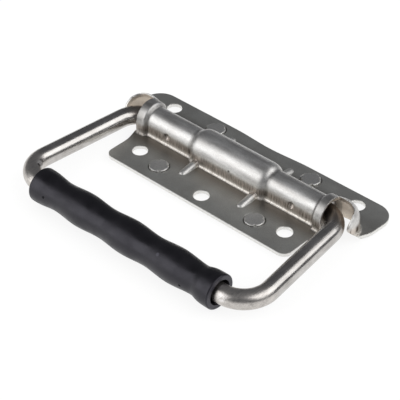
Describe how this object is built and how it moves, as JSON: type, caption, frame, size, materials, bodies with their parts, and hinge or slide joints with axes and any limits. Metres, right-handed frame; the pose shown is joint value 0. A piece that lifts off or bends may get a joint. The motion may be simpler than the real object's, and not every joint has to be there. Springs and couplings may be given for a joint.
{
  "type": "chest handle",
  "caption": "Surface-mounted spring-return chest handle: a bent rod bail with a grooved black grip, hinged in the barrel of a stamped stainless cover plate, folded flat.",
  "frame": {"origin": "on the back plate's wall face, under the middle of the hinge line", "axes": "+X along the hinge line, the bail folds towards -Y, +Z out of the wall"},
  "size_m": [0.1302, 0.0933, 0.0153],
  "materials": {
    "cover_plate": "satin stainless sheet, drawn lines on the barrel",
    "back_plate": "satin stainless sheet",
    "bail": "polished stainless rod",
    "torsion_spring": "drawn spring wire",
    "grip": "matte black moulding"
  },
  "bodies": {
    "plate": {"cover_plate": "cover_plate", "back_plate": "back_plate", "torsion_spring": "torsion_spring"},
    "handle": {"bail": "bail", "grip": "grip"}
  },
  "joints": [
    {"name": "bail_hinge", "type": "hinge", "parent": "plate", "child": "handle", "pos_m": [0, 0, 0.0075], "axis": [-1, 0, 0], "range_deg": [0, 85], "stiffness_Nm_per_rad": 0.0865, "springref_deg": -51.57, "deforming": ["torsion_spring"]}
  ]
}
